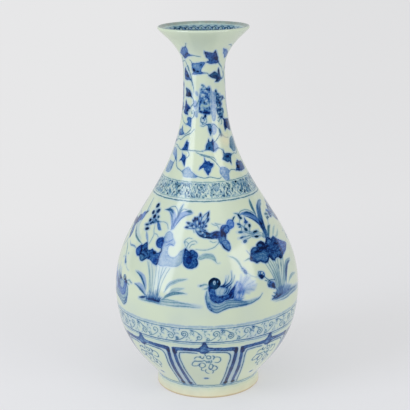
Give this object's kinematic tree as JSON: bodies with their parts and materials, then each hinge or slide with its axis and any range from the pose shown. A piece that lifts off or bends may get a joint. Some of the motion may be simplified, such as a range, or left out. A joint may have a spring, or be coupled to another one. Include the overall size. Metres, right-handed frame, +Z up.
{
  "type": "pear-shaped bottle vase",
  "caption": "Pear-shaped porcelain bottle vase with a slender neck, a trumpet mouth and a ring foot, glazed pale green-white over cobalt blue painting.",
  "frame": {"origin": "middle of the foot, on the surface that the vase stands on", "axes": "+Z up along the axis of turning; -Y faces the viewer of the picture"},
  "size_m": [0.1524, 0.1524, 0.3],
  "materials": {
    "glazed_porcelain": "gloss",
    "bare_clay": "matte",
    "dried_slip": "matte"
  },
  "bodies": {
    "root": {"foot_ring": "bare_clay", "foot_slip": "dried_slip", "lower_body": "glazed_porcelain", "belly_slip": "dried_slip", "upper_body": "glazed_porcelain", "neck_slip": "dried_slip", "neck_and_mouth": "glazed_porcelain"}
  },
  "joints": []
}
